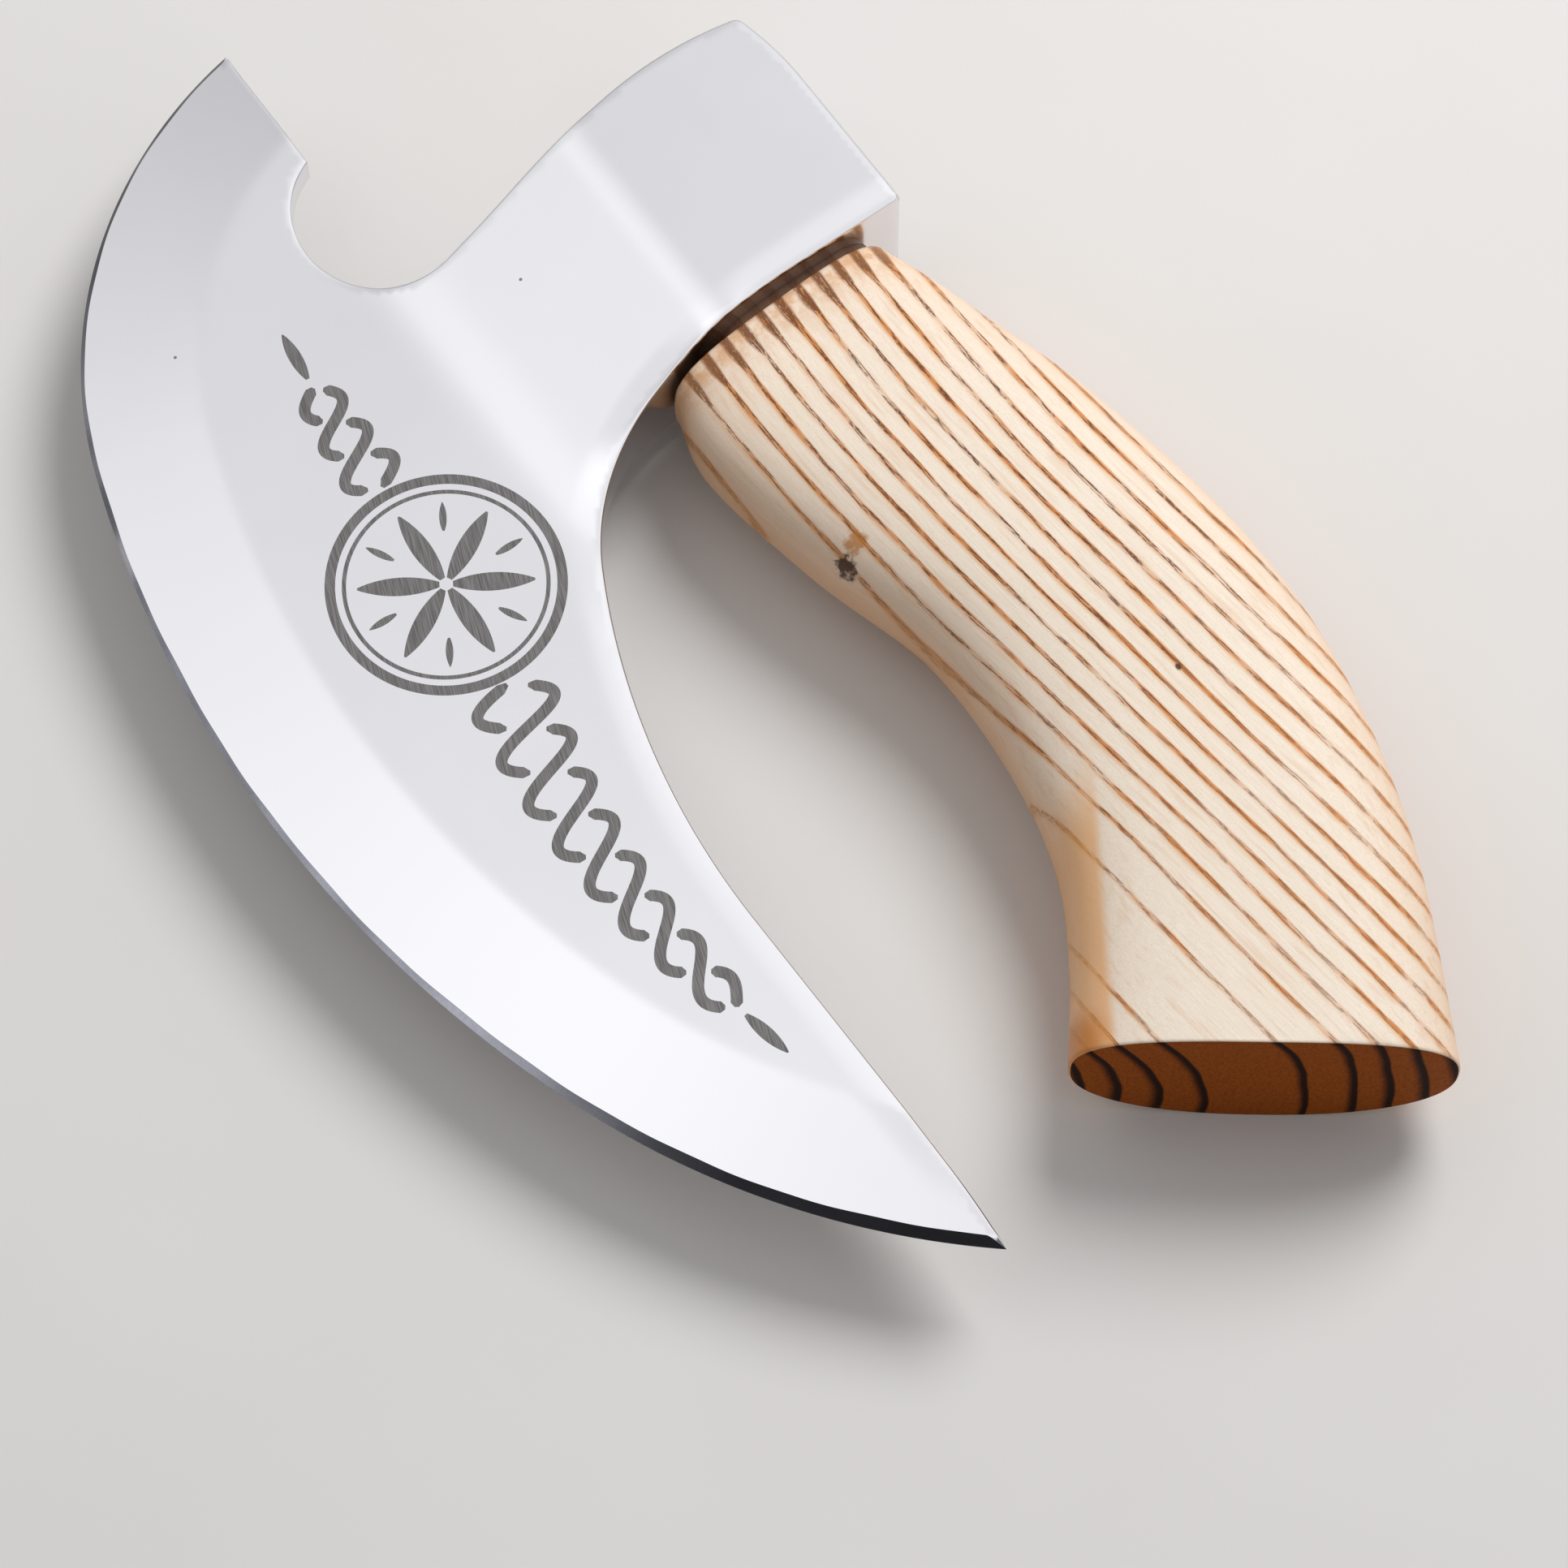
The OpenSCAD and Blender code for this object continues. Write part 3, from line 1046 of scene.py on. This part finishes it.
def polished_steel():
    """Mirror steel with a faint swirl, and fine marks along the edge on the ground zone."""
    made, n = material("polished_steel")
    at = n.position()
    edge = n.attribute("edge_mm")
    along = n.attribute("along_mm")
    haze = n.noise(n.combine(*at), 0.035, 3.0, 0.6)
    swirl = n.noise(n.stretch(at, (0.9, 0.12, 1.0)), 2.2, 3.0)
    scratch = n.noise(n.stretch((along, edge, 0.0), (0.05, 2.5, 1.0)), 2.5, 2.0)
    ground = n.step(edge, 15.5, 18.0, 1.0, 0.0)
    rough = n.linear(haze, 0.06, 0.10)
    rough = n.linear(ground, 0.05, rough)
    height = n.linear(swirl, 0.25, n.product(scratch, ground))
    colour = n.mix(haze, (0.81, 0.81, 0.84, 1), (0.88, 0.88, 0.90, 1))
    for pit in PITS:
        spot = n.step(n.near(at, pit, PIT_RADII), 0.5, 1.1, 1.0, 0.0)
        colour = n.mix(n.product(spot, 0.8), colour, (0.08, 0.07, 0.06, 1))
    n.surface(colour, rough, height, bump=0.0006, metallic=1.0)
    return made


def honed_steel():
    """The bevel at the very edge, with the marks of the stone across it. Both ends are painted near
    black, a painted dark reflection.
    """
    made, n = material("honed_steel")
    z = n.position()[2]
    edge = n.attribute("edge_mm")
    along = n.attribute("along_mm")
    marks = n.noise(n.stretch((along, edge, z), (3.2, 0.35, 1.0)), 1.6, 2.0)
    patches = n.noise(n.stretch((along, 0.0, z), (0.08, 1.0, 1.0)), 1.0, 2.0)
    colour = n.mix(marks, (0.46, 0.47, 0.54, 1), (0.66, 0.67, 0.74, 1))
    # Painted dark reflection: the bevel turns near black towards the toe and the heel
    toe = n.step(along, 30.0, 110.0, 0.92, 0.0)
    heel = n.step(along, 180.0, 215.0, 0.0, 0.85)
    colour = n.mix(n.math("MAXIMUM", toe, heel), colour, (0.03, 0.03, 0.035, 1))
    rough = n.linear(patches, 0.14, 0.08)
    n.surface(colour, rough, marks, bump=0.0015, metallic=1.0)
    return made


BRUSH_X = 0.35
BRUSH_Y = 0.94


def etched_steel():
    """Dark, matt steel with the fine parallel marks of the brush."""
    made, n = material("etched_steel")
    x, y, z = n.position()
    along = n.linear(x, BRUSH_X, n.product(y, BRUSH_Y))
    across = n.linear(y, -BRUSH_X, n.product(x, BRUSH_Y))
    brushed = n.noise(n.stretch((along, across, z), (0.15, 4.0, 1.0)), 1.6, 3.0)
    colour = n.mix(n.step(brushed, 0.3, 0.7), (0.15, 0.145, 0.14, 1), (0.30, 0.29, 0.285, 1))
    rough = n.linear(brushed, 0.2, 0.35)
    n.surface(colour, rough, brushed, bump=0.004, metallic=1.0)
    return made


# Growth rings: their pitch, how wide apart they are around RING_MID, and how they sag with depth
RING_START = 18.54
RING_W = 3.247
RING_SWELL = 1.855
RING_SPREAD = 7.15
RING_SPREAD_LEFT = 10.0
RING_MID = 54.4
RING_LOW = 8.0
RING_TOP = 12.0
RING_BEND = 170.0

# The grain's direction, and its bend towards the shoulder
GRAIN_X = 0.99
GRAIN_Y = 0.12
GRAIN_BEND_Y = -58.0
GRAIN_BEND = 0.0014

# Marks on the handle: a place, and how far the mark reaches in x, y and z
KNOT = ((-39.5, -41.3, 6.1), (1.3, 2.0, 2.8))
KNOT_STAIN = ((-36.9, -40.0, 9.0), (1.9, 1.6, 3.4))
DARK_DOT = ((-13.1, -83.5, 13.0), (0.5, 0.7, 5.0))
CORNER_STAIN = ((-56.5, -118.5, 4.0), (6.5, 6.5, 11.0))


def grain_coordinates(n, x, y, z):
    """Along the grain, and across it after all the bends, in millimetres."""
    grain = n.minus(n.product(y, GRAIN_X), n.product(x, GRAIN_Y))
    across = n.math("ADD", n.product(x, GRAIN_X), n.product(y, GRAIN_Y))
    above = n.math("MAXIMUM", n.minus(y, GRAIN_BEND_Y), 0.0)
    across = n.linear(n.product(above, above), -GRAIN_BEND, across)
    deep = n.math("ADD", z, RING_LOW)
    sag = n.minus(n.product(deep, deep), (RING_LOW + RING_TOP) ** 2)
    bulge = n.step(across, -66.0, -36.0, 2.1 / RING_BEND, 1 / RING_BEND)
    across = n.linear(sag, bulge, across)
    slow = n.noise(n.stretch((across, grain, z), (0.06, 0.018, 0.06)), 1.0, 2.0)
    across = n.linear(n.minus(slow, 0.5), 1.8, across)
    return grain, across


def ring_distance(n, across):
    """Distance from the nearest growth ring, in millimetres, below zero on its left.

    The rings are wide apart around RING_MID. They close up slowly to its left and fast to its right.
    """
    beyond = n.math("ADD", across, RING_MID)
    right = n.math("TANH", n.product(n.math("MAXIMUM", beyond, 0.0), 1 / RING_SPREAD))
    left = n.math("TANH", n.product(n.math("MINIMUM", beyond, 0.0), 1 / RING_SPREAD_LEFT))
    count = n.linear(across, 1 / RING_W, RING_START)
    count = n.linear(right, -RING_SWELL, count)
    count = n.linear(left, -RING_SWELL * RING_SPREAD_LEFT / RING_SPREAD, count)
    rate = n.minus(1.0, n.product(right, right))
    rate = n.minus(rate, n.product(left, left))
    rate = n.linear(rate, -RING_SWELL / RING_SPREAD, 1 / RING_W)
    phase = n.minus(count, n.math("ROUND", count))
    return n.math("DIVIDE", phase, rate)


def row_of_pores(n, at, off, scorch_and_gap_shade):
    """The dark dashes, their orange glow and the pale halo round one growth ring."""
    wobble = n.noise(n.stretch(at, (0.8, 0.10, 0.25)), 1.0, 3.0)
    off = n.linear(n.minus(wobble, 0.5), 0.5, off)
    wide = n.linear(n.step(scorch_and_gap_shade, 0.05, 0.7), 1.3, 1.0)
    spread = n.math("DIVIDE", off, wide)
    dashes = n.noise(n.stretch(at, (4.6, 0.30, 1.6)), 1.0, 2.5)
    patches = n.noise(n.stretch(at, (0.45, 0.07, 0.3)), 1.0, 3.0)
    dots = n.noise(n.stretch(at, (7.0, 1.4, 3.0)), 1.0, 2.0)
    charred = n.step(scorch_and_gap_shade, 0.05, 0.6)
    dark = n.linear(charred, 0.16, n.minus(dashes, 0.48))
    dots = n.linear(charred, 0.06, n.minus(dots, 0.36))

    row = n.product(n.step(spread, -0.60, -0.25), n.step(spread, 0.08, 0.30, 1.0, 0.0))
    pore = n.product(n.step(dark, 0.0, 0.06), n.step(dots, 0.0, 0.14, 0.25, 1.0))
    pore = n.product(row, pore)
    halo = n.product(n.step(off, -1.15, -0.10), n.step(off, 0.10, 0.50, 1.0, 0.0))
    halo = n.product(halo, n.step(patches, 0.35, 0.62, 0.25, 1.0))
    glow = n.product(n.step(spread, -0.55, -0.15), n.step(spread, 0.06, 0.34, 1.0, 0.0))
    glow = n.product(glow, n.step(patches, 0.38, 0.6, 0.20, 0.75))
    return pore, halo, glow


def wood_marks_and_bounce(n, colour, x, y, z, on_side):
    """The warm tan side above the butt, which is painted bounce light, then the stained corner at the
    butt, the knot with its stain, and a dark dot.
    """
    at = (x, y, z)
    # Painted bounce light: a warm tan band on the side above the butt, not a stain
    inset = n.linear(x, 0.84, n.linear(y, -0.54, -16.8))
    flank_bounce_light = n.product(n.step(inset, 3.8, 5.4, 1.0, 0.0), n.step(y, -84.0, -96.0))
    corner = n.step(n.near(at, *CORNER_STAIN), 0.4, 1.1, 1.0, 0.0)
    colour = n.mix(n.product(n.product(flank_bounce_light, on_side), 0.7), colour, srgb(236, 172, 104))
    colour = n.mix(n.product(n.product(corner, on_side), 0.85), colour, srgb(206, 124, 36))

    rough_edge = n.minus(n.noise(n.combine(x, y, z), 0.9, 3.0), 0.5)
    rough_edge = n.product(rough_edge, 2.0)
    knot = n.step(n.math("ADD", n.near(at, *KNOT), rough_edge), 0.6, 1.1, 1.0, 0.0)
    stain = n.step(n.math("ADD", n.near(at, *KNOT_STAIN), rough_edge), 0.4, 1.2, 1.0, 0.0)
    dot = n.step(n.near(at, *DARK_DOT), 0.5, 1.1, 1.0, 0.0)
    colour = n.mix(n.product(stain, 0.8), colour, srgb(190, 118, 40))
    return n.mix(n.product(n.math("MAXIMUM", knot, dot), 0.95), colour, srgb(60, 28, 10))


def end_grain(n, x, y, z, off):
    """The butt: the same rings cut across, dark and soaked with finish."""
    speck = n.noise(n.stretch((x, y, z), (1.0, 1.0, 0.5)), 2.6, 3.0)
    colour = n.mix(speck, srgb(108, 40, 2), srgb(172, 92, 18))
    ring = n.product(n.step(off, -1.3, -0.1), n.step(off, 0.2, 0.5, 1.0, 0.0))
    return n.mix(n.product(ring, 0.97), colour, srgb(26, 8, 3))


def ash_wood():
    """Oiled ash, coloured through its whole depth so that its rings run on from face to side."""
    made, n = material("oiled_ash")
    x, y, z = n.position()
    scorch_and_gap_shade = n.attribute("scorch_and_gap_shade")
    butt = n.attribute("butt")
    on_side = n.minus(1.0, butt)
    grain, across = grain_coordinates(n, x, y, z)
    off = ring_distance(n, across)
    pore, halo, glow = row_of_pores(n, (across, grain, z), off, scorch_and_gap_shade)

    fibre_at = n.stretch((across, grain, z), (1.0, 0.05, 1.0))
    fibre = n.noise(fibre_at, 5.0, 3.0, 0.6)
    streak = n.noise(fibre_at, 1.1, 2.0)
    flecks = n.noise(n.combine(x, y, z), 3.2, 3.0)
    colour = n.mix(fibre, srgb(230, 212, 190), srgb(255, 243, 228))
    colour = n.mix(n.product(n.step(flecks, 0.52, 0.75), 0.30), colour, srgb(214, 188, 160))
    colour = n.mix(n.product(n.step(streak, 0.5, 0.78), 0.5), colour, srgb(226, 194, 162))

    # Scorched near the shoulder, then the rows of pores, then a warm tan painted on the lower sides,
    # which is painted bounce light from below
    scorch = n.noise(n.combine(x, y, z), 0.45, 4.0, 0.6)
    scorched = n.product(n.step(scorch_and_gap_shade, 0.0, 0.9), n.step(scorch, 0.35, 0.65, 0.15, 1.0))
    colour = n.mix(n.product(scorched, 0.7), colour, srgb(208, 146, 82))
    colour = n.mix(n.product(halo, 0.90), colour, srgb(226, 162, 96))
    colour = n.mix(glow, colour, srgb(196, 116, 54))
    pore_share = n.product(pore, n.step(grain, -115.0, -55.0, 0.5, 0.92))
    colour = n.mix(pore_share, colour, srgb(84, 38, 12))
    # Painted bounce light: the lower half of the handle is tinted warm tan, more the lower it lies
    colour = n.mix(n.step(z, -2.0, 14.0, 0.7, 0.0), colour, srgb(222, 158, 92))

    colour = n.mix(butt, colour, end_grain(n, x, y, z, off))
    # Painted shadow: the tenon and the shoulder's face beside it go dark brown, as the gap under the
    # eye is in shade
    colour = n.mix(n.product(n.step(scorch_and_gap_shade, 0.9, 1.0), 0.92), colour, srgb(92, 56, 30))
    colour = wood_marks_and_bounce(n, colour, x, y, z, on_side)

    rough = n.linear(fibre, 0.18, 0.36)
    rough = n.linear(butt, 0.2, rough)
    height = n.linear(pore, -1.0, n.product(fibre, 0.35))
    shader = n.surface(colour, rough, height, bump=0.06, coat=n.product(on_side, 0.15))
    n.put(shader.inputs["Specular IOR Level"], n.step(butt, 0.0, 1.0, 0.5, 0.06))
    return made


def wedge_wood():
    """Brown hardwood with its fibres along the wedge's depth."""
    made, n = material("wedge_hardwood")
    fibre = n.noise(n.stretch(n.position(), (4.0, 0.3, 4.0)), 1.0, 3.0)
    colour = n.mix(fibre, srgb(116, 74, 44), srgb(170, 120, 78))
    n.surface(colour, n.linear(fibre, 0.2, 0.45), fibre, bump=0.05)
    return made


def wedge_steel():
    """Plain steel, dull and lightly brushed."""
    made, n = material("wedge_steel")
    brushed = n.noise(n.stretch(n.position(), (6.0, 1.0, 0.4)), 1.5, 3.0)
    colour = n.mix(brushed, (0.32, 0.33, 0.35, 1), (0.55, 0.56, 0.58, 1))
    rough = n.linear(brushed, 0.2, 0.3)
    n.surface(colour, rough, brushed, bump=0.01, metallic=1.0)
    return made


def floor_paint():
    """Pale matt paint with a very slight unevenness."""
    made, n = material("pale_floor")
    grain = n.noise(n.combine(*n.position()), 0.02, 2.0)
    colour = n.mix(grain, (0.74, 0.72, 0.70, 1), (0.78, 0.765, 0.745, 1))
    n.surface(colour, 0.7)
    return made


def dress(obj, *made):
    """Gives an object its materials, and keeps which faces use the second one."""
    slots = [polygon.material_index for polygon in obj.data.polygons]
    obj.data.materials.clear()
    for one in made:
        obj.data.materials.append(one)
    if len(made) > 1:
        obj.data.polygons.foreach_set("material_index", slots)


# ---- The studio ----

FLOOR_HALF = 2.0
WORLD_FILL = 0.32
CAMERA_AZIMUTH = -35.75
CAMERA_ELEVATION = 67.0
CAMERA_DISTANCE = 0.911
CAMERA_LENS = 149.07
CAMERA_AIM_OFFSET = (-0.0067, -0.0264, 0.0)


def add_floor():
    """A plain pale square at the height that the part lies on."""
    half = FLOOR_HALF
    mesh = bpy.data.meshes.new("floor")
    corners = [(-half, -half, 0), (half, -half, 0), (half, half, 0), (-half, half, 0)]
    mesh.from_pydata(corners, [], [(0, 1, 2, 3)])
    floor = link("floor", mesh)
    dress(floor, floor_paint())
    floor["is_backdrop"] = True


def look_along(obj, direction):
    """Turns a light or the camera to look along a direction."""
    obj.rotation_mode = "QUATERNION"
    obj.rotation_quaternion = direction.to_track_quat("-Z", "Y")


def add_light(name, place, size, power):
    """A soft round light over the part, which the polished steel doesn't mirror."""
    data = bpy.data.lights.new(name, "AREA")
    data.shape = "DISK"
    data.size = size
    data.energy = power
    light = link(name, data)
    light.location = place
    light.visible_glossy = False
    look_along(light, -Vector(place))


def tent_brightness(n, x, y, z):
    """How bright the white tent is in each direction, as the polished steel mirrors it."""
    # From the toe's side down to the heel's: dim, then a bright panel, then a little dimmer
    light = n.step(y, 0.62, 0.25, 0.84, 1.18)
    light = n.minus(light, n.step(y, 0.60, 0.72, 0.0, 0.16))
    light = n.math("ADD", light, n.step(y, 0.36, 0.27, 0.0, 0.09))
    light = n.minus(light, n.step(y, 0.22, 0.13, 0.0, 0.15))

    # From left to right: the ground zone mirrors the middle, and the flat faces the right
    light = n.product(light, n.step(x, -0.06, 0.22, 1.0, 0.78))
    light = n.product(light, n.step(x, -0.06, -0.14, 1.0, 0.92))
    low_left = n.product(n.step(x, -0.05, -0.15), n.step(y, 0.36, 0.28))
    light = n.product(light, n.linear(low_left, -0.24, 1.0))
    light = n.math("ADD", light, n.step(x, 0.28, 0.36, 0.0, 0.12))

    # A dark side on the left behind the camera, and a darker band along the floor
    behind = n.linear(x, 0.3, y)
    dark = n.product(n.step(behind, -0.1, -0.5), n.step(x, -0.05, -0.4))
    light = n.product(light, n.linear(dark, -0.85, 1.0))
    return n.product(light, n.step(z, 0.05, 0.5, 0.35, 1.0))


def add_world():
    """A white tent for reflections. Matt surfaces get a soft even fill, a little less from the left."""
    world = bpy.data.worlds.new("studio")
    bpy.context.scene.world = world
    world.use_nodes = True
    n = Nodes(world.node_tree)
    split = n.add("ShaderNodeSeparateXYZ")
    n.put(split.inputs[0], n.add("ShaderNodeTexCoord").outputs["Generated"])
    x, y, z = split.outputs
    light = tent_brightness(n, x, y, z)
    fill = n.step(x, -0.5, 0.3, WORLD_FILL * 0.85, WORLD_FILL * 1.2)
    diffuse = n.add("ShaderNodeLightPath").outputs["Is Diffuse Ray"]
    light = n.linear(diffuse, n.minus(fill, light), light)
    shader = n.add("ShaderNodeBackground")
    n.put(shader.inputs["Color"], (0.985, 0.985, 1.0, 1))
    n.put(shader.inputs["Strength"], light)
    out = n.add("ShaderNodeOutputWorld")
    n.put(out.inputs["Surface"], shader.outputs[0])


def add_camera():
    """Looks down at the part from its toe and butt side."""
    azimuth = math.radians(CAMERA_AZIMUTH)
    elevation = math.radians(CAMERA_ELEVATION)
    level = math.cos(elevation)
    back = Vector((math.sin(azimuth) * level, -math.cos(azimuth) * level, math.sin(elevation)))
    low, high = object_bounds()
    aim = (low + high) / 2 + Vector(CAMERA_AIM_OFFSET)
    data = bpy.data.cameras.new("camera")
    data.sensor_width = 36.0
    data.lens = CAMERA_LENS
    camera = link("camera", data)
    camera.location = aim + back * CAMERA_DISTANCE
    look_along(camera, -back)
    bpy.context.scene.camera = camera


# ---- Building ----

head = make_head()
dress(head, polished_steel(), honed_steel())
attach(head, BODY)
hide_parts("axe_head")

ornament = make_ornament()
dress(ornament, etched_steel())
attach(ornament, BODY)

handle = make_handle()
dress(handle, ash_wood())
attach(handle, BODY)
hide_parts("handle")

dress(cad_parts["eye_wedge"], wedge_wood())
dress(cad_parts["steel_wedge"], wedge_steel())

add_floor()
add_world()
add_light("key", (0.6, 0.2, 0.8), size=0.55, power=7.5)
add_light("fill", (-0.4, 0.6, 0.9), size=0.9, power=1.3)
add_camera()
bpy.context.scene.view_settings.view_transform = "Standard"
